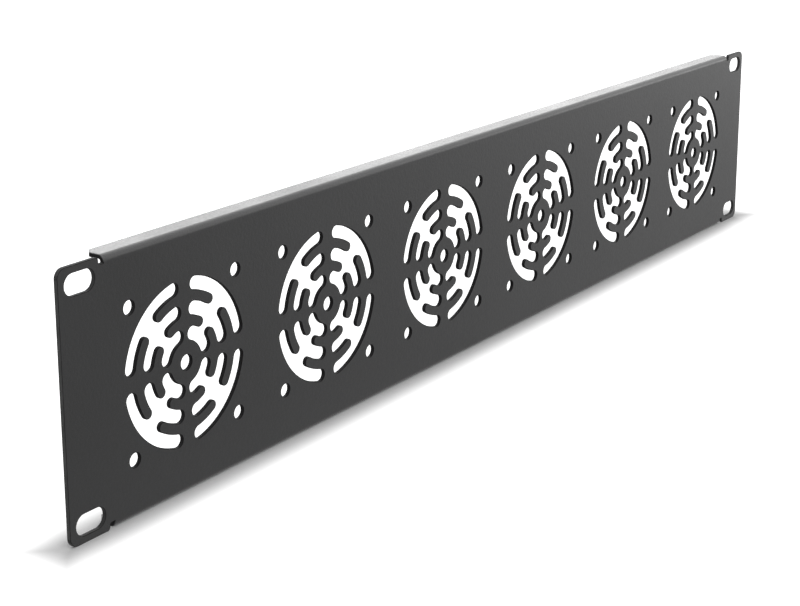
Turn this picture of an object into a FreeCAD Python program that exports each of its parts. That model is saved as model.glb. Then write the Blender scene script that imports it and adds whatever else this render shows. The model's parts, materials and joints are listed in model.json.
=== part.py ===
import FreeCAD, Part
import math
import os
from collections import namedtuple
import Sketcher

# Six-fan panel for a 19 inch rack, two units high: one steel sheet, cut flat and then folded twice.
#
# Frame: X runs along the panel, Y points to the rear of the rack and Z is up. The origin is the middle of
# the sheet's rear face, which seats on the rails of the rack. Lengths are millimetres, angles degrees.

# Driving sizes. Each one is a cell of the sheet "Sizes", under the same alias.
SIZES = {
    # the sheet and its two folds
    "sheet_thickness": 1.5,
    "bend_inner_radius": 0.6,
    "flange_depth": 8.5,
    "flange_corner_chamfer": 2.5,
    # rack slots, two in each ear: the pattern of their middles, their size and the steel around them
    "slot_spacing_across": 465.1,
    "slot_spacing_up": 76.2,
    "slot_length": 12.4,
    "slot_width": 7.0,
    "slot_end_web": 2.75,
    "slot_inner_web": 1.85,
    "slot_edge_web": 2.45,
    # ears, and the relief notches that part them from the flanges
    "ear_corner_radius": 3.2,
    "ear_inner_radius": 1.2,
    "relief_width": 2.0,
    "relief_corner_radius": 0.4,
    # fans, square, in a row between the ears
    "fan_count": 6,
    "fan_size": 60.0,
    "fan_end_gap": 5.0,
    "fan_screw_inset": 5.0,
    "fan_screw_diameter": 4.8,
    "hub_hole_diameter": 5.2,
    # fan guards: ring channels, parted by fingers that hang from four tapered spokes
    "guard_inset": 1.8,
    "guard_hub_radius": 7.4,
    "finger_width": 3.65,
    "spoke_half_angle": 6.2,
    "trunk_half_angle": 7.5,
}

# A guard has four quadrants, and each quadrant has three ring channels, numbered from the rim inwards.
QUADRANTS = 4
CHANNELS = 3

# Sizes that follow from the driving ones. Each one is a cell of the sheet "Derived", under the same alias.
DERIVED = {
    "panel_width": "Sizes.slot_spacing_across + Sizes.slot_length + 2 * Sizes.slot_end_web",
    "panel_height": "Sizes.slot_spacing_up + Sizes.slot_width + 2 * Sizes.slot_edge_web",
    "panel_end": "panel_width / 2",
    "body_end": "slot_across - Sizes.slot_length / 2 - Sizes.slot_inner_web - Sizes.relief_width",
    "body_length": "2 * body_end",
    "relief_depth": "Sizes.bend_inner_radius + Sizes.sheet_thickness",
    "slot_across": "Sizes.slot_spacing_across / 2",
    "slot_up": "Sizes.slot_spacing_up / 2",
    "slot_run": "Sizes.slot_length - Sizes.slot_width",
    "slot_radius": "Sizes.slot_width / 2",
    "through_cut": "3 * Sizes.sheet_thickness",
    "fan_pitch": "(body_length - 2 * Sizes.fan_end_gap - Sizes.fan_size) / (Sizes.fan_count - 1)",
    "first_fan": "-fan_pitch * (Sizes.fan_count - 1) / 2",
    "fan_screw_spacing": "Sizes.fan_size - 2 * Sizes.fan_screw_inset",
    "guard_radius": "Sizes.fan_size / 2 - Sizes.guard_inset",
    "guard_span": "guard_radius - Sizes.guard_hub_radius",
    "channel_width": f"(guard_span - {CHANNELS - 1} * Sizes.finger_width) / {CHANNELS}",
    "channel_step": "channel_width + Sizes.finger_width",
    # angles of the lines from a fan's centre on which channels end and fingers end, from the level spoke
    "level_spoke_side": "Sizes.spoke_half_angle",
    "level_trunk_side": "45 - Sizes.trunk_half_angle",
    "upright_trunk_side": "45 + Sizes.trunk_half_angle",
    "upright_spoke_side": "90 - Sizes.spoke_half_angle",
}
for number in range(CHANNELS):
    DERIVED[f"channel_outer_{number}"] = f"guard_radius - {number} * channel_step"
    DERIVED[f"channel_inner_{number}"] = f"channel_outer_{number} - channel_width"

# Ends and centre of a line or an arc in a sketch, and the sketch's own origin and axes.
START, END, CENTRE = 1, 2, 3
ORIGIN = (-1, 1)
HORIZONTAL_AXIS, VERTICAL_AXIS = -1, -2

TOLERANCE = 1e-4

doc = FreeCAD.newDocument("rack_fan_panel")


# ---------------------------------------------------------------- sheets


def add_sheet(name, cells):
    sheet = doc.addObject("Spreadsheet::Sheet", name)
    for row, (alias, content) in enumerate(cells.items(), start=1):
        sheet.set(f"A{row}", alias)
        sheet.set(f"B{row}", content)
        sheet.setAlias(f"B{row}", alias)


def add_sheets():
    add_sheet("Sizes", {alias: str(value) for alias, value in SIZES.items()})
    add_sheet("Derived", {alias: f"={formula}" for alias, formula in DERIVED.items()})
    doc.recompute()


def cell(alias):
    """The expression that reads a size from its sheet."""
    return f"Sizes.{alias}" if alias in SIZES else f"Derived.{alias}"


def size(alias):
    """The size as a number, for laying out a sketch before its dimensions take over."""
    sheet = doc.getObject("Sizes" if alias in SIZES else "Derived")
    return float(sheet.get(alias))


# ---------------------------------------------------------------- sketch helpers


def origin_plane(body, role):
    return next(item for item in body.Origin.OriginFeatures if item.Role == role)


def add_sketch(body, name, plane_role):
    sketch = body.newObject("Sketcher::SketchObject", name)
    sketch.AttachmentSupport = [(origin_plane(body, plane_role), "")]
    sketch.MapMode = "FlatFace"
    return sketch


def add_line(sketch, start, end):
    return sketch.addGeometry(Part.LineSegment(FreeCAD.Vector(*start, 0), FreeCAD.Vector(*end, 0)))


def add_circle(sketch, centre, radius):
    return sketch.addGeometry(Part.Circle(FreeCAD.Vector(*centre, 0), FreeCAD.Vector(0, 0, 1), radius))


def add_arc(sketch, centre, radius, start_angle, end_angle):
    """An arc that runs counter-clockwise from its start angle to its end angle."""
    circle = Part.Circle(FreeCAD.Vector(*centre, 0), FreeCAD.Vector(0, 0, 1), radius)
    arc = Part.ArcOfCircle(circle, math.radians(start_angle), math.radians(end_angle))
    return sketch.addGeometry(arc)


def add_side_arc(sketch, side, centre, radius, start_angle, end_angle):
    """The arc itself on side 1, and its mirror image in the horizontal axis on side -1."""
    if side > 0:
        return add_arc(sketch, centre, radius, start_angle, end_angle)
    return add_arc(sketch, (centre[0], -centre[1]), radius, -end_angle, -start_angle)


def fix(sketch, kind, *references):
    """A constraint that follows no cell."""
    sketch.addConstraint(Sketcher.Constraint(kind, *references))


def measure(sketch, kind, references, alias, name=None):
    """A named dimension that follows a cell."""
    name = name or alias
    value = math.radians(size(alias)) if kind == "Angle" else size(alias)
    index = sketch.addConstraint(Sketcher.Constraint(kind, *references, value))
    sketch.renameConstraint(index, name)
    sketch.setExpression(f"Constraints.{name}", cell(alias))


# ---------------------------------------------------------------- folded body


def sketch_folded_section(body):
    """Section of the folded body: a flat front, with a flange folded to the rear at its top and bottom."""
    inner = size("bend_inner_radius")
    front = -size("sheet_thickness")
    outer = inner - front
    top = size("panel_height") / 2
    rear = front + size("flange_depth")
    under_flange = top + front
    bend_line = top - outer

    sketch = add_sketch(body, "folded_section", "YZ_Plane")
    front_web = add_line(sketch, (front, bend_line), (front, -bend_line))
    rear_web = add_line(sketch, (0, bend_line), (0, -bend_line))
    fix(sketch, "Vertical", front_web)
    fix(sketch, "Vertical", rear_web)
    fix(sketch, "PointOnObject", rear_web, START, VERTICAL_AXIS)

    outer_faces = []
    inner_bends = []
    for side in (1, -1):
        at_flange, at_web = (START, END) if side > 0 else (END, START)
        web_end = START if side > 0 else END
        outer_bend = add_side_arc(sketch, side, (inner, bend_line), outer, 90, 180)
        inner_bend = add_side_arc(sketch, side, (inner, bend_line), inner, 90, 180)
        outer_face = add_line(sketch, (inner, side * top), (rear, side * top))
        rear_edge = add_line(sketch, (rear, side * top), (rear, side * under_flange))
        inner_face = add_line(sketch, (rear, side * under_flange), (inner, side * under_flange))
        fix(sketch, "Horizontal", outer_face)
        fix(sketch, "Horizontal", inner_face)
        fix(sketch, "Vertical", rear_edge)
        fix(sketch, "Coincident", outer_bend, CENTRE, inner_bend, CENTRE)
        fix(sketch, "Tangent", outer_bend, at_web, front_web, web_end)
        fix(sketch, "Tangent", inner_bend, at_web, rear_web, web_end)
        fix(sketch, "Tangent", outer_bend, at_flange, outer_face, START)
        fix(sketch, "Tangent", inner_bend, at_flange, inner_face, END)
        fix(sketch, "Coincident", outer_face, END, rear_edge, START)
        fix(sketch, "Coincident", rear_edge, END, inner_face, START)
        outer_faces.append(outer_face)
        inner_bends.append(inner_bend)

    top_face, bottom_face = outer_faces
    fix(sketch, "Equal", *inner_bends)
    fix(sketch, "Symmetric", top_face, END, bottom_face, END, HORIZONTAL_AXIS)
    measure(sketch, "DistanceX", (front_web, START, rear_web, START), "sheet_thickness")
    measure(sketch, "DistanceX", (front_web, START, top_face, END), "flange_depth")
    measure(sketch, "DistanceY", (bottom_face, END, top_face, END), "panel_height")
    measure(sketch, "Radius", (inner_bends[0],), "bend_inner_radius")
    return sketch


def pad_folded_body(body):
    pad = body.newObject("PartDesign::Pad", "folded_body")
    pad.Profile = sketch_folded_section(body)
    pad.SideType = "Symmetric"
    pad.setExpression("Length", cell("body_length"))


# ---------------------------------------------------------------- ears


def sketch_ear(body):
    """Outline of the right ear, from the end of the folded body to the end of the panel.

    Beside the body the ear is a neck, which is lower by the relief notches. They reach down to the bends.
    """
    top = size("panel_height") / 2
    neck_top = top - size("relief_depth")
    body_end = size("body_end")
    wall = body_end + size("relief_width")
    panel_end = size("panel_end")
    notch = size("relief_corner_radius")
    inner = size("ear_inner_radius")
    corner = size("ear_corner_radius")

    sketch = add_sketch(body, "ear_outline", "XZ_Plane")
    neck_side = add_line(sketch, (body_end, neck_top), (body_end, -neck_top))
    ear_end = add_line(sketch, (panel_end, top - corner), (panel_end, corner - top))
    fix(sketch, "Symmetric", neck_side, START, neck_side, END, HORIZONTAL_AXIS)
    fix(sketch, "Vertical", ear_end)

    halves = []
    for side in (1, -1):
        # An arc on the lower side mirrors the upper one, so it starts where that one ends.
        first, last = (START, END) if side > 0 else (END, START)
        neck_edge = add_line(sketch, (body_end, side * neck_top), (wall - notch, side * neck_top))
        notch_arc = add_side_arc(sketch, side, (wall - notch, neck_top + notch), notch, -90, 0)
        notch_wall = add_line(sketch, (wall, side * (neck_top + notch)), (wall, side * (top - inner)))
        inner_arc = add_side_arc(sketch, side, (wall + inner, top - inner), inner, 90, 180)
        ear_edge = add_line(sketch, (wall + inner, side * top), (panel_end - corner, side * top))
        corner_arc = add_side_arc(sketch, side, (panel_end - corner, top - corner), corner, 0, 90)
        fix(sketch, "Horizontal", neck_edge)
        fix(sketch, "Vertical", notch_wall)
        fix(sketch, "Horizontal", ear_edge)
        fix(sketch, "Coincident", neck_side, first, neck_edge, START)
        fix(sketch, "Tangent", neck_edge, END, notch_arc, first)
        fix(sketch, "Tangent", notch_arc, last, notch_wall, START)
        fix(sketch, "Tangent", notch_wall, END, inner_arc, last)
        fix(sketch, "Tangent", inner_arc, first, ear_edge, START)
        fix(sketch, "Tangent", ear_edge, END, corner_arc, last)
        fix(sketch, "Tangent", corner_arc, first, ear_end, first)
        halves.append((neck_edge, notch_arc, notch_wall, inner_arc, ear_edge, corner_arc))

    (neck_edge, notch_arc, notch_wall, inner_arc, ear_edge, corner_arc), lower = halves
    fix(sketch, "Equal", notch_arc, lower[1])
    fix(sketch, "Equal", inner_arc, lower[3])
    fix(sketch, "Equal", corner_arc, lower[5])
    fix(sketch, "Symmetric", ear_edge, START, lower[4], START, HORIZONTAL_AXIS)
    measure(sketch, "DistanceX", (*ORIGIN, neck_side, START), "body_end")
    measure(sketch, "DistanceX", (*ORIGIN, ear_end, START), "panel_end")
    measure(sketch, "DistanceX", (neck_side, START, notch_wall, END), "relief_width")
    measure(sketch, "DistanceY", (neck_edge, START, ear_edge, START), "relief_depth")
    measure(sketch, "DistanceY", (lower[4], START, ear_edge, START), "panel_height")
    measure(sketch, "Radius", (notch_arc,), "relief_corner_radius")
    measure(sketch, "Radius", (inner_arc,), "ear_inner_radius")
    measure(sketch, "Radius", (corner_arc,), "ear_corner_radius")
    return sketch


def pad_ears(body):
    """The right ear, and the left one as its mirror image."""
    pad = body.newObject("PartDesign::Pad", "right_ear")
    pad.Profile = sketch_ear(body)
    pad.setExpression("Length", cell("sheet_thickness"))
    mirror = body.newObject("PartDesign::Mirrored", "left_ear")
    mirror.Originals = [pad]
    mirror.MirrorPlane = (origin_plane(body, "YZ_Plane"), [""])
    body.Tip = mirror


# ---------------------------------------------------------------- holes


def cut_through(body, name, sketch):
    """A pocket through the flat front, on both sides of the sketch's plane."""
    pocket = body.newObject("PartDesign::Pocket", name)
    pocket.Profile = sketch
    pocket.SideType = "Symmetric"
    pocket.setExpression("Length", cell("through_cut"))
    return pocket


def mirror_in(body, name, role):
    mirror = body.newObject("PartDesign::Mirrored", name)
    mirror.MirrorPlane = (origin_plane(body, role), [""])
    return mirror


def repeat_for_fans(pattern, sketch):
    """Sets a linear pattern to put a copy at every fan of the row."""
    pattern.Direction = (sketch, ["H_Axis"])
    pattern.Mode = "Spacing"
    pattern.setExpression("Offset", cell("fan_pitch"))
    pattern.setExpression("Occurrences", cell("fan_count"))


def sketch_rack_slot(body):
    """The upper slot of the right ear, straight with round ends, about a construction point."""
    radius = size("slot_radius")
    half_run = size("slot_run") / 2
    across, up = size("slot_across"), size("slot_up")

    sketch = add_sketch(body, "rack_slot_outline", "XZ_Plane")
    middle = sketch.addGeometry(Part.Point(FreeCAD.Vector(across, up, 0)), True)
    upper = add_line(sketch, (across - half_run, up + radius), (across + half_run, up + radius))
    lower = add_line(sketch, (across - half_run, up - radius), (across + half_run, up - radius))
    left_end = add_arc(sketch, (across - half_run, up), radius, 90, 270)
    right_end = add_arc(sketch, (across + half_run, up), radius, -90, 90)
    fix(sketch, "Horizontal", upper)
    fix(sketch, "Equal", left_end, right_end)
    fix(sketch, "Tangent", left_end, START, upper, START)
    fix(sketch, "Tangent", right_end, END, upper, END)
    fix(sketch, "Tangent", left_end, END, lower, START)
    fix(sketch, "Tangent", right_end, START, lower, END)
    fix(sketch, "Symmetric", left_end, CENTRE, right_end, CENTRE, middle, START)
    measure(sketch, "Radius", (left_end,), "slot_radius")
    measure(sketch, "DistanceX", (left_end, CENTRE, right_end, CENTRE), "slot_run")
    measure(sketch, "DistanceX", (*ORIGIN, middle, START), "slot_across")
    measure(sketch, "DistanceY", (*ORIGIN, middle, START), "slot_up")
    return sketch


def cut_rack_slots(body):
    """Two slots in each ear, for the screws that hold the panel to the rails."""
    slot = cut_through(body, "rack_slot", sketch_rack_slot(body))
    slots = body.newObject("PartDesign::MultiTransform", "rack_slots")
    slots.Originals = [slot]
    slots.Transformations = [
        mirror_in(body, "slot_down", "XY_Plane"),
        mirror_in(body, "slot_left", "YZ_Plane"),
    ]
    body.Tip = slots


def sketch_fan_holes(body):
    """The round holes of the first fan: four screws on a square, and the hub hole in its middle."""
    half = size("fan_screw_spacing") / 2
    screw_radius = size("fan_screw_diameter") / 2

    sketch = add_sketch(body, "fan_hole_circles", "XZ_Plane")
    sketch.setExpression("AttachmentOffset.Base.x", cell("first_fan"))
    hub = add_circle(sketch, (0, 0), size("hub_hole_diameter") / 2)
    fix(sketch, "Coincident", hub, CENTRE, *ORIGIN)
    measure(sketch, "Diameter", (hub,), "hub_hole_diameter")

    corners = [(-half, -half), (half, -half), (half, half), (-half, half)]
    screws = [add_circle(sketch, corner, screw_radius) for corner in corners]
    for screw in screws[1:]:
        fix(sketch, "Equal", screws[0], screw)
    fix(sketch, "Symmetric", screws[0], CENTRE, screws[2], CENTRE, *ORIGIN)
    fix(sketch, "Symmetric", screws[1], CENTRE, screws[3], CENTRE, *ORIGIN)
    fix(sketch, "Horizontal", screws[0], CENTRE, screws[1], CENTRE)
    fix(sketch, "Vertical", screws[1], CENTRE, screws[2], CENTRE)
    measure(sketch, "Diameter", (screws[0],), "fan_screw_diameter")
    measure(sketch, "DistanceX", (screws[0], CENTRE, screws[1], CENTRE), "fan_screw_spacing", "across")
    measure(sketch, "DistanceY", (screws[1], CENTRE, screws[2], CENTRE), "fan_screw_spacing", "up")
    return sketch


def cut_fan_holes(body):
    sketch = sketch_fan_holes(body)
    holes = cut_through(body, "fan_holes", sketch)
    row = body.newObject("PartDesign::LinearPattern", "fan_hole_row")
    row.Originals = [holes]
    repeat_for_fans(row, sketch)
    body.Tip = row


# ---------------------------------------------------------------- fan guards

# An arc of a ring in the outline of a guard's opening. In the order of travel, it starts beside one side of
# a spoke or of the trunk and ends beside another.
RingArc = namedtuple("RingArc", "ring from_side to_side")

# Counter-clockwise, the arcs beside these two sides come after them. Those beside the others come before.
ARCS_COME_AFTER = ("level_spoke_side", "upright_trunk_side")

# The end of a channel or a finger is three sides of a regular octagon.
OCTAGON_TURN = 45


def guard_outline():
    """The rings' arcs: rim, in along the level spoke, round the hub and out along the upright one.

    Each arc starts at the side of the spoke or the trunk at which the one before it ends.
    """
    inwards = []
    for number in range(CHANNELS - 1):
        inwards.append(RingArc(f"channel_inner_{number}", "level_spoke_side", "level_trunk_side"))
        inwards.append(RingArc(f"channel_outer_{number + 1}", "level_trunk_side", "level_spoke_side"))
    outwards = [
        RingArc(arc.ring, arc.to_side.replace("level", "upright"), arc.from_side.replace("level", "upright"))
        for arc in reversed(inwards)
    ]
    rim = RingArc("channel_outer_0", "upright_spoke_side", "level_spoke_side")
    hub = RingArc(f"channel_inner_{CHANNELS - 1}", "level_spoke_side", "upright_spoke_side")
    return [rim, *inwards, hub, *outwards]


def polar(radius, angle):
    return radius * math.cos(math.radians(angle)), radius * math.sin(math.radians(angle))


def corner_leg(side):
    """How far the corners of an end are cut back, which makes it octagonal."""
    width = size("channel_width") if "spoke" in side else size("finger_width")
    return width / (2 + math.sqrt(2))


def arc_angle(ring, side):
    """Angle at which a ring's arc ends, beside the cut corner."""
    gap = math.degrees(math.asin(corner_leg(side) / size(ring)))
    return size(side) + gap if side in ARCS_COME_AFTER else size(side) - gap


def add_ring_arc(sketch, arc):
    """The arc's index, and which of its points the outline enters and leaves it by."""
    start, end = arc_angle(arc.ring, arc.from_side), arc_angle(arc.ring, arc.to_side)
    index = add_arc(sketch, (0, 0), size(arc.ring), min(start, end), max(start, end))
    fix(sketch, "Coincident", index, CENTRE, *ORIGIN)
    return (index, START, END) if start < end else (index, END, START)


def add_side(sketch, side, rim):
    """A construction line from the fan's centre to the rim, along the side of a spoke or the trunk."""
    line = add_line(sketch, (0, 0), polar(size("guard_radius"), size(side)))
    sketch.setConstruction(line, True)
    fix(sketch, "Coincident", line, START, *ORIGIN)
    fix(sketch, "PointOnObject", line, END, rim)
    measure(sketch, "Angle", (line,), side)
    return line


def add_end(sketch, side, line, from_arc, to_arc, from_ring, to_ring):
    """Closes a channel or a finger: a cut corner, a flat on the side's line and another cut corner."""
    leg = math.copysign(corner_leg(side), size(to_ring) - size(from_ring))
    places = (
        polar(size(from_ring), arc_angle(from_ring, side)),
        polar(size(from_ring) + leg, size(side)),
        polar(size(to_ring) - leg, size(side)),
        polar(size(to_ring), arc_angle(to_ring, side)),
    )
    first, flat, last = (add_line(sketch, *pair) for pair in zip(places, places[1:]))
    fix(sketch, "Coincident", from_arc[0], from_arc[2], first, START)
    fix(sketch, "Coincident", first, END, flat, START)
    fix(sketch, "Coincident", flat, END, last, START)
    fix(sketch, "Coincident", last, END, to_arc[0], to_arc[1])
    fix(sketch, "PointOnObject", flat, START, line)
    fix(sketch, "PointOnObject", flat, END, line)
    fix(sketch, "Equal", first, flat)
    fix(sketch, "Equal", flat, last)
    turns = ((first, flat), (flat, last)) if "trunk" in side else ((flat, first), (last, flat))
    for before, after in turns:
        fix(sketch, "Angle", before, after, math.radians(OCTAGON_TURN))


def sketch_guard_quadrant(body):
    """The opening of a guard's first quadrant: ring channels that meet in a trunk along the diagonal.

    Its outline is a closed chain of ring arcs about the fan's centre. Two arcs in a row are joined by the
    end of a channel at the side of a spoke, or by the end of a finger at the side of the trunk.
    """
    sketch = add_sketch(body, "guard_quadrant_outline", "XZ_Plane")
    sketch.setExpression("AttachmentOffset.Base.x", cell("first_fan"))
    outline = guard_outline()
    arcs = [add_ring_arc(sketch, arc) for arc in outline]
    drawn = {}
    for arc, (index, _, _) in zip(outline, arcs):
        if arc.ring in drawn:
            fix(sketch, "Equal", drawn[arc.ring], index)
        else:
            measure(sketch, "Radius", (index,), arc.ring)
            drawn[arc.ring] = index

    rim, _, _ = arcs[0]
    lines = {side: add_side(sketch, side, rim) for side in dict.fromkeys(arc.to_side for arc in outline)}
    for number, arc in enumerate(outline):
        following = (number + 1) % len(outline)
        side = arc.to_side
        add_end(sketch, side, lines[side], arcs[number], arcs[following], arc.ring, outline[following].ring)
    return sketch


def cut_guards(body):
    """One quadrant's opening, turned about its fan's centre and repeated along the row."""
    sketch = sketch_guard_quadrant(body)
    quadrant = cut_through(body, "guard_quadrant", sketch)
    turn = body.newObject("PartDesign::PolarPattern", "guard_turn")
    turn.Axis = (sketch, ["N_Axis"])
    turn.Angle = 360
    turn.Occurrences = QUADRANTS
    row = body.newObject("PartDesign::LinearPattern", "guard_row")
    repeat_for_fans(row, sketch)
    guards = body.newObject("PartDesign::MultiTransform", "guards")
    guards.Originals = [quadrant]
    guards.Transformations = [turn, row]
    body.Tip = guards
    doc.recompute()
    return guards


# ---------------------------------------------------------------- flange corners


def is_flange_corner(edge):
    """Whether this is one of the four upright edges at the ends of the flanges' rear edges."""
    box = edge.BoundBox
    rear = size("flange_depth") - size("sheet_thickness")
    at_rear = abs(box.YMin - rear) < TOLERANCE and box.YLength < TOLERANCE
    at_end = abs(abs(box.XMin) - size("body_end")) < TOLERANCE and box.XLength < TOLERANCE
    return at_rear and at_end


def chamfer_flange_corners(body, base):
    edges = enumerate(base.Shape.Edges, start=1)
    corners = [f"Edge{index}" for index, edge in edges if is_flange_corner(edge)]
    chamfer = body.newObject("PartDesign::Chamfer", "flange_corners")
    chamfer.Base = (base, corners)
    chamfer.setExpression("Size", cell("flange_corner_chamfer"))
    body.Tip = chamfer


# ---------------------------------------------------------------- build and export


def make_fan_panel():
    body = doc.addObject("PartDesign::Body", "fan_panel")
    body.Label = "fan_panel"
    pad_folded_body(body)
    pad_ears(body)
    cut_rack_slots(body)
    cut_fan_holes(body)
    guards = cut_guards(body)
    chamfer_flange_corners(body, guards)
    doc.recompute()
    return body


def check(bodies):
    """Stops at a feature that failed to compute, or a body that is not one valid solid."""
    for item in doc.Objects:
        if {"Invalid", "Error"} & set(item.State):
            raise RuntimeError(f"{item.Label} failed: {item.State}")
    for body in bodies:
        if body.Shape.isNull() or not body.Shape.isValid() or len(body.Shape.Solids) != 1:
            raise RuntimeError(f"{body.Label} is not one valid solid")


def export(bodies):
    os.makedirs("parts", exist_ok=True)
    for body in bodies:
        body.Shape.exportStep(os.path.join("parts", f"{body.Label}.step"))
        print(body.Label, "volume", round(body.Shape.Volume, 1), "mm3,", len(body.Shape.Faces), "faces")


add_sheets()
panels = [make_fan_panel()]
check(panels)
export(panels)
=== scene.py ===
import json
import math

import bmesh
import bpy
from mathutils import Matrix, Vector


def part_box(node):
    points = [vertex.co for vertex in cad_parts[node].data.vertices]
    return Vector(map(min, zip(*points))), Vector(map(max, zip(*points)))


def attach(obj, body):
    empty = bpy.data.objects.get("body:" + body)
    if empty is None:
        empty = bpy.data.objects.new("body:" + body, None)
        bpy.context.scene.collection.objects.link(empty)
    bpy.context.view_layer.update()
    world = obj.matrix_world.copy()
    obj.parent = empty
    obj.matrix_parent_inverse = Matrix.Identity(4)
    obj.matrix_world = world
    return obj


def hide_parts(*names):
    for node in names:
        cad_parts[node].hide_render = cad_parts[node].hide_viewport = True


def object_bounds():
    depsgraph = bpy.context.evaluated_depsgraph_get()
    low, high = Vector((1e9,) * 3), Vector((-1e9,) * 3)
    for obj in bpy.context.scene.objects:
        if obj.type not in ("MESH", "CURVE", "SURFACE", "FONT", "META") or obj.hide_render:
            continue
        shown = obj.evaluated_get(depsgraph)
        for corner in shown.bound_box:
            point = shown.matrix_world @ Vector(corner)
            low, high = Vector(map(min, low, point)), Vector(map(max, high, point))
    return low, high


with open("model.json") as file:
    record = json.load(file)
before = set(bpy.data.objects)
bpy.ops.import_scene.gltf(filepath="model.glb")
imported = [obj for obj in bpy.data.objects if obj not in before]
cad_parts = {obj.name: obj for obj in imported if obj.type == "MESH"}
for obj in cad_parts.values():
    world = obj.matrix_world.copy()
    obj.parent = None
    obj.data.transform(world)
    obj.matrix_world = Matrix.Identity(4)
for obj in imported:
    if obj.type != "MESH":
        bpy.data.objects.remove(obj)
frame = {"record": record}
cad_low, cad_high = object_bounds()

# ---------------------------------------------------------------- values, lengths in metres

MM = 0.001
MOUNTS = {mount["name"]: mount for mount in frame["record"]["mounts"]}
PANEL_LOW, PANEL_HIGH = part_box("fan_panel")

# The sheet: its front face is the lowest Y, and its rear face seats on the rails.
FRONT = PANEL_LOW.y
REAR = MOUNTS["rack_face"]["pos_m"][1]
THICKNESS = REAR - FRONT
TOP = PANEL_HIGH.z
END = PANEL_HIGH.x

# The folds.
BEND_INNER = 0.6 * MM
BEND_LINE = TOP - THICKNESS - BEND_INNER
FLANGE_REAR = PANEL_HIGH.y
FLANGE_CHAMFER = 2.5 * MM
BODY_END = 222.5 * MM

# The ears, their slots and the relief notches beside the folds.
SLOTS = MOUNTS["rack_slots"]["dims"]
SLOT_X = SLOTS["spacing_x_mm"] / 2 * MM
SLOT_Z = SLOTS["spacing_y_mm"] / 2 * MM
SLOT_RADIUS = SLOTS["hole_r_mm"] * MM
SLOT_RUN = SLOTS["slot_length_mm"] / 2 * MM - SLOT_RADIUS
EAR_CORNER = 3.2 * MM
EAR_INNER_CORNER = 1.2 * MM
NOTCH_WIDTH = 2.0 * MM
NOTCH_CORNER = 0.4 * MM
NOTCH_FOOT = BEND_LINE - 0.3 * MM

# The fans and the holes of each one.
FANS = [MOUNTS[name]["pos_m"][0] for name in sorted(MOUNTS) if name.startswith("fan_")]
SCREWS = MOUNTS["fan_1_screws"]["dims"]
SCREW_PLACE = SCREWS["spacing_x_mm"] / 2 * MM * math.sqrt(2)
SCREW_RADIUS = SCREWS["hole_r_mm"] * MM
HUB_HOLE = 2.6 * MM
TILE = BODY_END - max(FANS)

# The finger guard: ring channels, fingers between them, and the slopes of the spokes and the trunks.
GUARD_RADIUS = 28.2 * MM
CHANNEL = 4.5 * MM
FINGER = 3.65 * MM
CHANNELS = 3
SPOKE_SLOPE = math.sin(math.radians(6.2))
TRUNK_SLOPE = math.sin(math.radians(7.5))

# The rounding that the coat leaves on every cut edge, and how finely curves are stepped.
EDGE_ROUND = 0.22 * MM
ROUND_STEPS = 2
SHARP = math.radians(35)
COARSE_STEP = math.radians(3.2)
FINE_STEP = math.radians(15)
BEND_STEPS = 10
WELD = 0.001 * MM

# The coat's two finishes, as places in the panel's list of materials. The cut finish is a darker grey that
# paints the shade on hole walls, ear and flange ends and edge rounds.
COATED, CUT_WITH_PAINTED_SHADE = 0, 1

# A face looks along an axis when more than this part of its normal lies along it.
FACING = 0.5

# How much the ears' cut faces are lightened, partly as wear from hands and screws and partly as painted
# light: the face layer's name, and its values in the slots and outside.
WEAR_AND_LIGHT_LAYER = "wear_and_painted_light"
SLOT_WEAR_AND_LIGHT, OUTLINE_WEAR_AND_LIGHT = 0.6, 1

# The finishes: greys of the flecks, least and most roughness, and strength of the relief. The dull
# finish's darker greys are painted shade on the cut faces.
SATIN = {"dark": 0.010, "light": 0.018, "least": 0.40, "most": 0.49, "relief": 0.5}
DULL_AND_SHADED = {"dark": 0.006, "light": 0.01, "least": 0.66, "most": 0.78, "relief": 0.6}
SATIN_IOR = 1.4
DULL_SPECULAR = 0.08
BLUE_TINT = 1.03
# The pale grey of that lightening: partly wear, partly painted light on the ears' cut faces.
WORN_AND_LIT_COLOUR = (0.1, 0.1, 0.101, 1)

# The coat's grain: waves per metre and finer layers of each noise, and how far the grain stands out.
FLOW, PEBBLE, FLECK, WEAR = (22, 3), (950, 2), (3400, 1), (140, 3)
PEBBLE_DEPTH, FLECK_DEPTH, FLECK_RELIEF = 0.09 * MM, 0.02 * MM, 0.4

# The middle of a noise, and what it is spread to.
MIDDLE = (0.3, 0.7)
WHOLE = (0.0, 1.0)
PEBBLED_GLOSS = (-0.02, 0.03)
WEAR_PATCHES = (0.55, 1.0)

# The studio: strengths of its whites, and where the floor's glow rises to white; its weak glow along the
# panel's foot paints a shadow strip over the object's real shadow.
ROOM, BACKGROUND, TENT = 0.25, 1, 2.85
FLOOR_GREY, FLOOR_IN_GLOSS = 0.9, 0.86
FLOOR_REACH = 6
CLEARS_FROM, CLEARS_TO = 1 * MM, 18 * MM
LEAST_GLOW, MOST_GLOW = 0.03, 1
WHITE = (1, 1, 1, 1)

# Soft lamps: name, place, what it aims at, width, height, power in watts.
LAMPS = (
    ("overhead", (0, 0.12, 1.6), (0, 0.12, 0), 2.6, 0.24, 3),
    ("behind", (1.8, 1.4, 0.75), (0, 0, 0), 1.6, 1.0, 15),
    ("right", (1.9, -0.6, 0.05), (0, 0, 0), 1.0, 0.2, 5),
    ("left", (-1.9, -0.3, 0.8), (0, 0, 0), 1.2, 1.0, 2),
    ("front", (-0.6, -1.2, 1.7), (0, 0, 0), 1.6, 1.2, 10),
)

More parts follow.
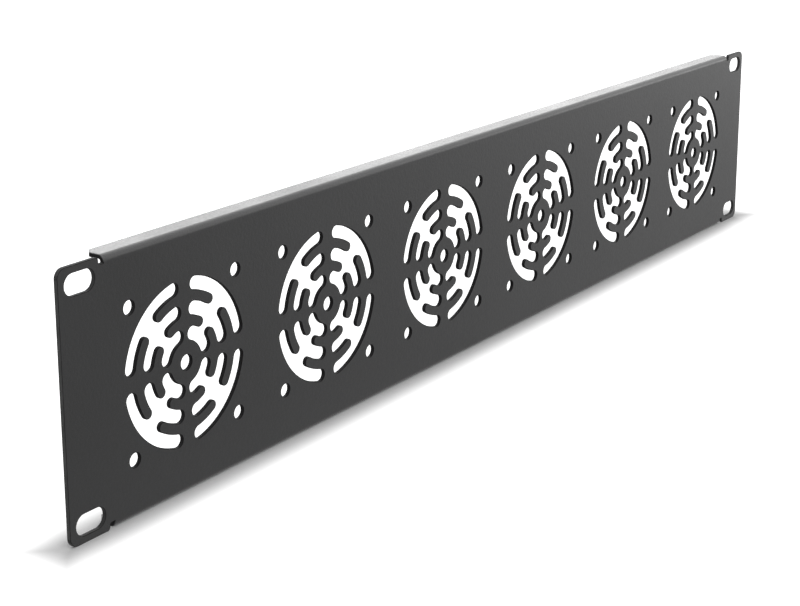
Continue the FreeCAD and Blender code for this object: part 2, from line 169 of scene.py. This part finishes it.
# The camera: place in metres, angles in degrees, lens and sensor in millimetres.
CAMERA_PLACE = (-0.5686, -0.35215, 0.1833)
CAMERA_AZIMUTH, CAMERA_TILT, CAMERA_ROLL = 55.0, 13.6, -0.13
CAMERA_LENS, CAMERA_SENSOR = 75.92, 36
CAMERA_SHIFT = -0.15
CAMERA_CLIP = 10 * MM


# ---------------------------------------------------------------- drawing the flat sheet


def verts_in(geom):
    return [item for item in geom if isinstance(item, bmesh.types.BMVert)]


def faces_in(geom):
    return [item for item in geom if isinstance(item, bmesh.types.BMFace)]


def start_at(bm, x, z):
    """The first point of an outline in the sheet's front face."""
    return bm.verts.new((x, FRONT, z))


def line_to(bm, point, x, z):
    """Draws a straight edge to a place in the front face."""
    end = bmesh.ops.extrude_vert_indiv(bm, verts=[point])["verts"][0]
    end.co = (x, FRONT, z)
    return end


def turn(bm, point, centre, degrees, step=COARSE_STEP):
    """Swings the point about a centre and draws the arc. A positive turn goes from +X to +Z."""
    angle = math.radians(degrees)
    steps = max(2, math.ceil(abs(angle) / step))
    spun = bmesh.ops.spin(
        bm, geom=[point], cent=(centre[0], FRONT, centre[1]), axis=(0, -1, 0), angle=angle, steps=steps
    )
    return verts_in(spun["geom_last"])[0]


def fill_outline(bm):
    """Closes the outline just drawn and fills it with one face."""
    bmesh.ops.remove_doubles(bm, verts=[v for v in bm.verts if not v.link_faces], dist=WELD)
    bmesh.ops.contextual_create(bm, geom=[edge for edge in bm.edges if not edge.link_faces])


def mirrored(bm, normal):
    """Adds the mirror image of everything in the plane through the origin that has this normal."""
    normal = Vector(normal).normalized()
    copy = bmesh.ops.duplicate(bm, geom=bm.verts[:] + bm.edges[:] + bm.faces[:])
    bmesh.ops.transform(bm, matrix=Matrix.Scale(-1, 4, normal), verts=verts_in(copy["geom"]))
    bmesh.ops.reverse_faces(bm, faces=faces_in(copy["geom"]))
    bmesh.ops.remove_doubles(bm, verts=bm.verts[:], dist=WELD)


def polar(radius, degrees):
    return radius * math.cos(math.radians(degrees)), radius * math.sin(math.radians(degrees))


def draw_guard_slice(bm):
    """One eighth of the steel round a fan, from the middle of a spoke to the diagonal through a screw.

    The channels end beside the spoke and the fingers beside the diagonal, all in full round ends.
    """
    point = start_at(bm, HUB_HOLE, 0)
    point = line_to(bm, point, TILE, 0)
    point = line_to(bm, point, TILE, TILE)
    point = line_to(bm, point, *polar(SCREW_PLACE + SCREW_RADIUS, 45))
    point = turn(bm, point, polar(SCREW_PLACE, 45), -180, FINE_STEP)
    point = line_to(bm, point, *polar(GUARD_RADIUS, 45))
    angle = 45
    for number in range(CHANNELS):
        outer = GUARD_RADIUS - number * (CHANNEL + FINGER)
        middle = outer - CHANNEL / 2
        end = math.degrees(math.asin(SPOKE_SLOPE + CHANNEL / 2 / middle))
        point = turn(bm, point, (0, 0), end - angle)
        point = turn(bm, point, polar(middle, end), -180, FINE_STEP)
        if number < CHANNELS - 1:
            middle = outer - CHANNEL - FINGER / 2
            tip = 45 - math.degrees(math.asin(TRUNK_SLOPE + FINGER / 2 / middle))
            point = turn(bm, point, (0, 0), tip - end)
            point = turn(bm, point, polar(middle, tip), 180, FINE_STEP)
            angle = tip
        else:
            point = turn(bm, point, (0, 0), 45 - end)
    point = line_to(bm, point, *polar(HUB_HOLE, 45))
    turn(bm, point, (0, 0), -45)
    fill_outline(bm)


def draw_fan_row(bm):
    """The flat front between the folds: six pierced squares of sheet, with plain sheet about them."""
    draw_guard_slice(bm)
    mirrored(bm, (1, 0, -1))
    mirrored(bm, (1, 0, 0))
    mirrored(bm, (0, 0, 1))
    square = bm.verts[:] + bm.edges[:] + bm.faces[:]
    for x in FANS[1:]:
        copy = bmesh.ops.duplicate(bm, geom=square)
        bmesh.ops.translate(bm, verts=verts_in(copy["geom"]), vec=(x - FANS[0], 0, 0))
    bmesh.ops.translate(bm, verts=bm.verts[:], vec=(FANS[0], 0, 0))

    gap = FANS[1] - FANS[0] - 2 * TILE
    for x in FANS[:-1]:
        pull_edges(bm, lambda place: abs(place.x - x - TILE) < WELD, (gap, 0, 0))
    for side in (1, -1):
        for start, end in ((TILE, NOTCH_FOOT), (NOTCH_FOOT, BEND_LINE)):
            pull_edges(bm, lambda place: abs(place.z - side * start) < WELD, (0, 0, side * (end - start)))


def pull_edges(bm, lies_there, move):
    """Extrudes the open edges that lie at a place, and welds what they meet."""
    edges = [e for e in bm.edges if len(e.link_faces) == 1 and all(lies_there(v.co) for v in e.verts)]
    pulled = bmesh.ops.extrude_edge_only(bm, edges=edges)
    bmesh.ops.translate(bm, verts=verts_in(pulled["geom"]), vec=move)
    bmesh.ops.remove_doubles(bm, verts=bm.verts[:], dist=WELD)


def draw_ear_quarter(bm):
    """The upper half of the right ear, in two faces that meet through the middle of its slot."""
    wall = BODY_END + NOTCH_WIDTH
    slot_left, slot_right = SLOT_X - SLOT_RUN, SLOT_X + SLOT_RUN

    point = start_at(bm, BODY_END, 0)
    point = line_to(bm, point, SLOT_X, 0)
    point = line_to(bm, point, SLOT_X, SLOT_Z - SLOT_RADIUS)
    point = line_to(bm, point, slot_left, SLOT_Z - SLOT_RADIUS)
    point = turn(bm, point, (slot_left, SLOT_Z), -180, FINE_STEP / 2)
    point = line_to(bm, point, SLOT_X, SLOT_Z + SLOT_RADIUS)
    point = line_to(bm, point, SLOT_X, TOP)
    point = line_to(bm, point, wall + EAR_INNER_CORNER, TOP)
    point = turn(bm, point, (wall + EAR_INNER_CORNER, TOP - EAR_INNER_CORNER), 90, FINE_STEP)
    point = line_to(bm, point, wall, NOTCH_FOOT + NOTCH_CORNER)
    point = turn(bm, point, (wall - NOTCH_CORNER, NOTCH_FOOT + NOTCH_CORNER), -90, FINE_STEP)
    point = line_to(bm, point, BODY_END, NOTCH_FOOT)
    point = line_to(bm, point, BODY_END, TILE)
    line_to(bm, point, BODY_END, 0)
    fill_outline(bm)

    point = start_at(bm, SLOT_X, 0)
    point = line_to(bm, point, END, 0)
    point = line_to(bm, point, END, TOP - EAR_CORNER)
    point = turn(bm, point, (END - EAR_CORNER, TOP - EAR_CORNER), 90, FINE_STEP / 2)
    point = line_to(bm, point, SLOT_X, TOP)
    point = line_to(bm, point, SLOT_X, SLOT_Z + SLOT_RADIUS)
    point = line_to(bm, point, slot_right, SLOT_Z + SLOT_RADIUS)
    point = turn(bm, point, (slot_right, SLOT_Z), -180, FINE_STEP / 2)
    point = line_to(bm, point, SLOT_X, SLOT_Z - SLOT_RADIUS)
    line_to(bm, point, SLOT_X, 0)
    fill_outline(bm)
    bmesh.ops.remove_doubles(bm, verts=bm.verts[:], dist=WELD)


# ---------------------------------------------------------------- folding it


def add_thickness(bm):
    """Turns the flat drawing into sheet, from its front face to its rear face."""
    thick = bmesh.ops.extrude_face_region(bm, geom=bm.faces[:])
    bmesh.ops.translate(bm, verts=verts_in(thick["geom"]), vec=(0, THICKNESS, 0))
    bmesh.ops.recalc_face_normals(bm, faces=bm.faces[:])


def fold_flange(bm, side):
    """Bends the sheet's edge a quarter turn to the rear, and draws the flange out of the bend."""
    edge_faces = [
        face for face in bm.faces
        if all(abs(v.co.z - side * BEND_LINE) < WELD and abs(v.co.x) < BODY_END + WELD for v in face.verts)
    ]
    bend = bmesh.ops.spin(
        bm, geom=edge_faces, cent=(0, REAR + BEND_INNER, side * BEND_LINE), axis=(1, 0, 0),
        angle=math.radians(-90 * side), steps=BEND_STEPS,
    )
    last = faces_in(bend["geom_last"])
    flange = bmesh.ops.extrude_face_region(bm, geom=last)
    bmesh.ops.translate(bm, verts=verts_in(flange["geom"]), vec=(0, FLANGE_REAR - REAR - BEND_INNER, 0))
    inside = [face for face in edge_faces + last if face.is_valid]
    bmesh.ops.delete(bm, geom=inside, context="FACES")


def chamfer_flange_corners(bm):
    """Takes the rear corners off both flanges."""

    def at_corner(v):
        return abs(v.co.y - FLANGE_REAR) < WELD and abs(abs(v.co.x) - BODY_END) < WELD

    corners = [edge for edge in bm.edges if all(at_corner(v) for v in edge.verts)]
    bmesh.ops.bevel(
        bm, geom=corners, offset=FLANGE_CHAMFER, offset_type="OFFSET", affect="EDGES", segments=1,
        profile=0.5, material=-1,
    )


def mark_cut_faces(bm):
    """Gives the faces that the cutter left their own darker finish, which paints the shade on them, and
    marks the ears' faces to be lightened, partly as wear from hands and screws and partly as painted
    light.
    """
    wear_and_painted_light = bm.faces.layers.float.new(WEAR_AND_LIGHT_LAYER)
    for face in bm.faces:
        place, normal = face.calc_center_median(), face.normal
        on_ear = abs(place.x) > BODY_END + WELD
        in_flat = abs(place.z) < BEND_LINE - WELD
        hole_or_ear = abs(normal.y) < FACING and (on_ear or in_flat)
        flange_end = abs(normal.x) > FACING and not in_flat
        flange_edge = normal.y > FACING and place.y > FLANGE_REAR - WELD
        if hole_or_ear or flange_end or flange_edge:
            # The darker cut finish paints shade on these faces.
            face.material_index = CUT_WITH_PAINTED_SHADE
            in_slot = on_ear and in_flat and abs(place.x) < END - WELD
            # Outline and slot faces of the ears are lightened: partly wear, partly painted light.
            face[wear_and_painted_light] = SLOT_WEAR_AND_LIGHT if in_slot else OUTLINE_WEAR_AND_LIGHT if on_ear else 0


def round_cut_edges(bm):
    """Gives every cut edge the small round that a powder coat has on it.

    The rounds have the darker finish of the cut, which paints the shade on them, and on the flanges that
    of the faces.
    """
    sharp = [edge for edge in bm.edges if edge.is_manifold and edge.calc_face_angle() > SHARP]
    rounded = bmesh.ops.bevel(
        bm, geom=sharp, offset=EDGE_ROUND, offset_type="OFFSET", affect="EDGES", segments=ROUND_STEPS,
        profile=0.5, material=-1,
    )
    for face in rounded["faces"]:
        place = face.calc_center_median()
        on_flange = abs(place.z) > BEND_LINE and abs(place.x) < BODY_END + WELD
        # Rounds off the flanges take the cut finish's painted shade.
        face.material_index = COATED if on_flange else CUT_WITH_PAINTED_SHADE


def add_ears(bm):
    """Draws both ears apart from the rest, so that they can be mirrored, and welds them on."""
    ears = bmesh.new()
    draw_ear_quarter(ears)
    mirrored(ears, (0, 0, 1))
    mirrored(ears, (1, 0, 0))
    ears_mesh = bpy.data.meshes.new("ears")
    ears.to_mesh(ears_mesh)
    bm.from_mesh(ears_mesh)
    bpy.data.meshes.remove(ears_mesh)
    ears.free()
    bmesh.ops.remove_doubles(bm, verts=bm.verts[:], dist=WELD)


def make_panel():
    """The whole panel, as one sheet: drawn flat, thickened, folded and rounded."""
    bm = bmesh.new()
    draw_fan_row(bm)
    add_ears(bm)
    add_thickness(bm)
    for side in (1, -1):
        fold_flange(bm, side)
    chamfer_flange_corners(bm)
    bmesh.ops.recalc_face_normals(bm, faces=bm.faces[:])
    mark_cut_faces(bm)
    round_cut_edges(bm)
    bmesh.ops.recalc_face_normals(bm, faces=bm.faces[:])
    for face in bm.faces:
        face.smooth = True
    print("panel: faces", len(bm.faces), "open edges", sum(not e.is_manifold for e in bm.edges))
    mesh = bpy.data.meshes.new("panel")
    bm.to_mesh(mesh)
    bm.free()
    panel = bpy.data.objects.new("panel", mesh)
    bpy.context.scene.collection.objects.link(panel)
    weighted = panel.modifiers.new("flat faces stay flat", "WEIGHTED_NORMAL")
    weighted.keep_sharp = False
    weighted.weight = 100
    return panel


# ---------------------------------------------------------------- finishes


def material(name):
    """A new material, with its nodes, its links and its output's surface socket."""
    made = bpy.data.materials.new(name)
    made.use_nodes = True
    nodes, links = made.node_tree.nodes, made.node_tree.links
    nodes.clear()
    return made, nodes, links, nodes.new("ShaderNodeOutputMaterial").inputs["Surface"]


def named(node, name):
    node.name = node.label = name
    return node


def noise(nodes, links, place, name, grain):
    made = named(nodes.new("ShaderNodeTexNoise"), name)
    made.inputs["Scale"].default_value, made.inputs["Detail"].default_value = grain
    links.new(place, made.inputs["Vector"])
    return made.outputs["Fac"]


def spread(nodes, links, value, ends, name):
    """Maps the middle of a noise to a range, whose ends are numbers or sockets."""
    made = named(nodes.new("ShaderNodeMapRange"), name)
    made.inputs["From Min"].default_value, made.inputs["From Max"].default_value = MIDDLE
    for socket, end in zip(("To Min", "To Max"), ends):
        if isinstance(end, float):
            made.inputs[socket].default_value = end
        else:
            links.new(end, made.inputs[socket])
    links.new(value, made.inputs["Value"])
    return made.outputs["Result"]


def work_out(nodes, links, operation, *terms):
    """A sum or another step of arithmetic, whose terms are numbers or sockets."""
    made = nodes.new("ShaderNodeMath")
    made.operation = operation
    for socket, term in zip(made.inputs, terms):
        if isinstance(term, float):
            socket.default_value = term
        else:
            links.new(term, socket)
    return made


def blend_colours(nodes, links, factor):
    made = nodes.new("ShaderNodeMix")
    made.data_type = "RGBA"
    links.new(factor, made.inputs["Factor"])
    return made


def blend_shaders(nodes, links, factor, first, second):
    made = nodes.new("ShaderNodeMixShader")
    links.new(factor, made.inputs["Fac"])
    links.new(first, made.inputs[1])
    links.new(second, made.inputs[2])
    return made.outputs[0]


def relief(nodes, links, height, depth):
    made = nodes.new("ShaderNodeBump")
    made.inputs["Distance"].default_value = depth
    links.new(height, made.inputs["Height"])
    return made


def make_powder_grain():
    """Baked powder: flecked in tone, clouded and pebbled in gloss, with a fine pebbled relief."""
    group = bpy.data.node_groups.new("powder_grain", "ShaderNodeTree")
    for name, way, kind in (
        ("Place", "INPUT", "NodeSocketVector"),
        ("Dark Fleck", "INPUT", "NodeSocketColor"),
        ("Light Fleck", "INPUT", "NodeSocketColor"),
        ("Least Roughness", "INPUT", "NodeSocketFloat"),
        ("Most Roughness", "INPUT", "NodeSocketFloat"),
        ("Relief", "INPUT", "NodeSocketFloat"),
        ("Color", "OUTPUT", "NodeSocketColor"),
        ("Roughness", "OUTPUT", "NodeSocketFloat"),
        ("Normal", "OUTPUT", "NodeSocketVector"),
    ):
        group.interface.new_socket(name, in_out=way, socket_type=kind)
    nodes, links = group.nodes, group.links
    given = nodes.new("NodeGroupInput").outputs
    result = nodes.new("NodeGroupOutput").inputs

    cloud = noise(nodes, links, given["Place"], "uneven flow", FLOW)
    pebble = noise(nodes, links, given["Place"], "pebbled grain", PEBBLE)
    fleck = noise(nodes, links, given["Place"], "powder flecks", FLECK)

    tone = blend_colours(nodes, links, spread(nodes, links, fleck, WHOLE, "fleck tone"))
    links.new(given["Dark Fleck"], tone.inputs["A"])
    links.new(given["Light Fleck"], tone.inputs["B"])
    links.new(tone.outputs["Result"], result["Color"])

    ends = given["Least Roughness"], given["Most Roughness"]
    clouded = spread(nodes, links, cloud, ends, "clouded gloss")
    pebbled = spread(nodes, links, pebble, PEBBLED_GLOSS, "pebbled gloss")
    links.new(work_out(nodes, links, "ADD", clouded, pebbled).outputs[0], result["Roughness"])

    peel = relief(nodes, links, pebble, PEBBLE_DEPTH)
    links.new(given["Relief"], peel.inputs["Strength"])
    grit = relief(nodes, links, fleck, FLECK_DEPTH)
    grit.inputs["Strength"].default_value = FLECK_RELIEF
    links.new(peel.outputs["Normal"], grit.inputs["Normal"])
    links.new(grit.outputs["Normal"], result["Normal"])
    return group


def make_coat(name, group, finish):
    """A material with the powder's grain in one finish, whose base colour is still to be linked."""
    made, nodes, links, surface = material(name)
    shader = nodes.new("ShaderNodeBsdfPrincipled")
    place = nodes.new("ShaderNodeTexCoord").outputs["Object"]
    grain = nodes.new("ShaderNodeGroup")
    grain.node_tree = group
    for socket, grey in (("Dark Fleck", finish["dark"]), ("Light Fleck", finish["light"])):
        grain.inputs[socket].default_value = (grey, grey, grey * BLUE_TINT, 1)
    grain.inputs["Least Roughness"].default_value = finish["least"]
    grain.inputs["Most Roughness"].default_value = finish["most"]
    grain.inputs["Relief"].default_value = finish["relief"]
    links.new(place, grain.inputs["Place"])
    links.new(grain.outputs["Roughness"], shader.inputs["Roughness"])
    links.new(grain.outputs["Normal"], shader.inputs["Normal"])
    links.new(shader.outputs["BSDF"], surface)
    return made, shader, place, grain.outputs["Color"]


def make_satin_coat(group):
    """Satin black powder coat on the sheet's faces and folds."""
    made, shader, _, colour = make_coat("satin_black_powder_coat", group, SATIN)
    shader.inputs["IOR"].default_value = SATIN_IOR
    made.node_tree.links.new(colour, shader.inputs["Base Color"])
    return made


def make_cut_coat_with_painted_shade_and_light(group):
    """The thin dull coat on cut faces, in a darker grey that paints the shade on them, darkest inside the
    holes; paler on the outline and in the slots, partly wear where hands rub and partly painted light.
    """
    made, shader, place, colour = make_coat("dull_black_cut_edges_painted_shade_and_light", group, DULL_AND_SHADED)
    shader.inputs["Specular IOR Level"].default_value = DULL_SPECULAR
    nodes, links = made.node_tree.nodes, made.node_tree.links

    wear_and_painted_light = nodes.new("ShaderNodeAttribute")
    wear_and_painted_light.attribute_name = WEAR_AND_LIGHT_LAYER
    # The ears' cut faces are lightened here, partly as wear in patches and partly as painted light.
    patch = noise(nodes, links, place, "where hands rub", WEAR)
    patches = spread(nodes, links, patch, WEAR_PATCHES, "wear patches")
    wear_and_light = named(work_out(nodes, links, "MULTIPLY", wear_and_painted_light.outputs["Fac"], patches), "edge wear")
    worn_and_lit = blend_colours(nodes, links, wear_and_light.outputs[0])
    links.new(colour, worn_and_lit.inputs["A"])
    worn_and_lit.inputs["B"].default_value = WORN_AND_LIT_COLOUR
    links.new(worn_and_lit.outputs["Result"], shader.inputs["Base Color"])
    return made


# ---------------------------------------------------------------- studio


def white_light(nodes, kind, strength):
    """An emission or a background in plain white."""
    made = nodes.new(kind)
    made.inputs["Color"].default_value = WHITE
    made.inputs["Strength"].default_value = strength
    return made


def make_white_floor():
    """White sweep: it takes the object's shadow, and clears to white a finger's width away from it.

    The camera sees paper with a glow that grows with the distance from the panel's foot, so the grey
    strip along the foot is partly the object's shadow and partly painted shadow. The coat's gloss sees
    plain white.
    """
    made, nodes, links, surface = material("white_sweep")
    paper = nodes.new("ShaderNodeBsdfDiffuse")
    paper.inputs["Color"].default_value = (FLOOR_GREY, FLOOR_GREY, FLOOR_GREY, 1)
    apart = nodes.new("ShaderNodeSeparateXYZ")
    links.new(nodes.new("ShaderNodeTexCoord").outputs["Object"], apart.inputs[0])
    across = work_out(nodes, links, "ABSOLUTE", apart.outputs["X"])
    beyond = work_out(nodes, links, "SUBTRACT", across.outputs[0], END)
    before = work_out(nodes, links, "ABSOLUTE", apart.outputs["Y"])
    away = work_out(nodes, links, "MAXIMUM", beyond.outputs[0], before.outputs[0])

    # Along the panel's foot the glow is weakest, which paints a grey strip there over the object's real
    # shadow; further out it clears to white.
    clear = nodes.new("ShaderNodeMapRange")
    clear.interpolation_type = "SMOOTHSTEP"
    for socket, value in (
        ("From Min", CLEARS_FROM), ("From Max", CLEARS_TO), ("To Min", LEAST_GLOW), ("To Max", MOST_GLOW)
    ):
        clear.inputs[socket].default_value = value
    links.new(away.outputs[0], clear.inputs["Value"])
    glow = white_light(nodes, "ShaderNodeEmission", MOST_GLOW)
    links.new(clear.outputs["Result"], glow.inputs["Strength"])
    glowing_paper = nodes.new("ShaderNodeAddShader")
    links.new(paper.outputs[0], glowing_paper.inputs[0])
    links.new(glow.outputs[0], glowing_paper.inputs[1])

    path = nodes.new("ShaderNodeLightPath").outputs
    seen = blend_shaders(nodes, links, path["Is Camera Ray"], paper.outputs[0], glowing_paper.outputs[0])
    in_gloss = white_light(nodes, "ShaderNodeEmission", FLOOR_IN_GLOSS).outputs[0]
    links.new(blend_shaders(nodes, links, path["Is Glossy Ray"], seen, in_gloss), surface)
    return made


def make_floor():
    """A wide floor at the panel's foot."""
    bm = bmesh.new()
    bmesh.ops.create_grid(bm, x_segments=1, y_segments=1, size=FLOOR_REACH)
    bmesh.ops.translate(bm, verts=bm.verts[:], vec=(0, 0, cad_low[2]))
    mesh = bpy.data.meshes.new("floor")
    bm.to_mesh(mesh)
    bm.free()
    floor = bpy.data.objects.new("floor", mesh)
    bpy.context.scene.collection.objects.link(floor)
    floor.data.materials.append(make_white_floor())


def make_world():
    """A dim room. The camera sees it white, and the coat's gloss sees a bright white tent."""
    world = bpy.data.worlds.new("studio")
    bpy.context.scene.world = world
    world.use_nodes = True
    nodes, links = world.node_tree.nodes, world.node_tree.links
    nodes.clear()
    room, tent, background = (
        white_light(nodes, "ShaderNodeBackground", strength).outputs[0]
        for strength in (ROOM, TENT, BACKGROUND)
    )
    path = nodes.new("ShaderNodeLightPath").outputs
    lit = blend_shaders(nodes, links, path["Is Glossy Ray"], room, tent)
    seen = blend_shaders(nodes, links, path["Is Camera Ray"], lit, background)
    links.new(seen, nodes.new("ShaderNodeOutputWorld").inputs["Surface"])


def make_softbox(name, place, target, width, height, power):
    data = bpy.data.lights.new(name, "AREA")
    data.shape = "RECTANGLE"
    data.size = width
    data.size_y = height
    data.energy = power
    lamp = bpy.data.objects.new(name, data)
    lamp.location = place
    lamp.rotation_euler = (Vector(target) - Vector(place)).to_track_quat("-Z", "Y").to_euler()
    bpy.context.scene.collection.objects.link(lamp)


def make_camera():
    """Looks along the panel from its left end, a little above it."""
    azimuth, tilt, roll = (math.radians(angle) for angle in (CAMERA_AZIMUTH, CAMERA_TILT, CAMERA_ROLL))
    forward = Vector((
        math.sin(azimuth) * math.cos(tilt), math.cos(azimuth) * math.cos(tilt), -math.sin(tilt)
    ))
    right = Vector((math.cos(azimuth), -math.sin(azimuth), 0))
    up = right.cross(forward)
    turned = Matrix((right, up, -forward)).transposed() @ Matrix.Rotation(roll, 3, "Z")
    data = bpy.data.cameras.new("camera")
    data.sensor_width = CAMERA_SENSOR
    data.lens = CAMERA_LENS
    data.shift_y = CAMERA_SHIFT
    data.clip_start = CAMERA_CLIP
    camera = bpy.data.objects.new("camera", data)
    camera.matrix_world = Matrix.Translation(CAMERA_PLACE) @ turned.to_4x4()
    bpy.context.scene.collection.objects.link(camera)
    bpy.context.scene.camera = camera


make_camera()
make_world()
make_floor()
for lamp in LAMPS:
    make_softbox(*lamp)
bpy.context.scene.view_settings.view_transform = "Standard"

panel = make_panel()
powder_grain = make_powder_grain()
panel.data.materials.append(make_satin_coat(powder_grain))
panel.data.materials.append(make_cut_coat_with_painted_shade_and_light(powder_grain))
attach(panel, "root")
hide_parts("fan_panel")
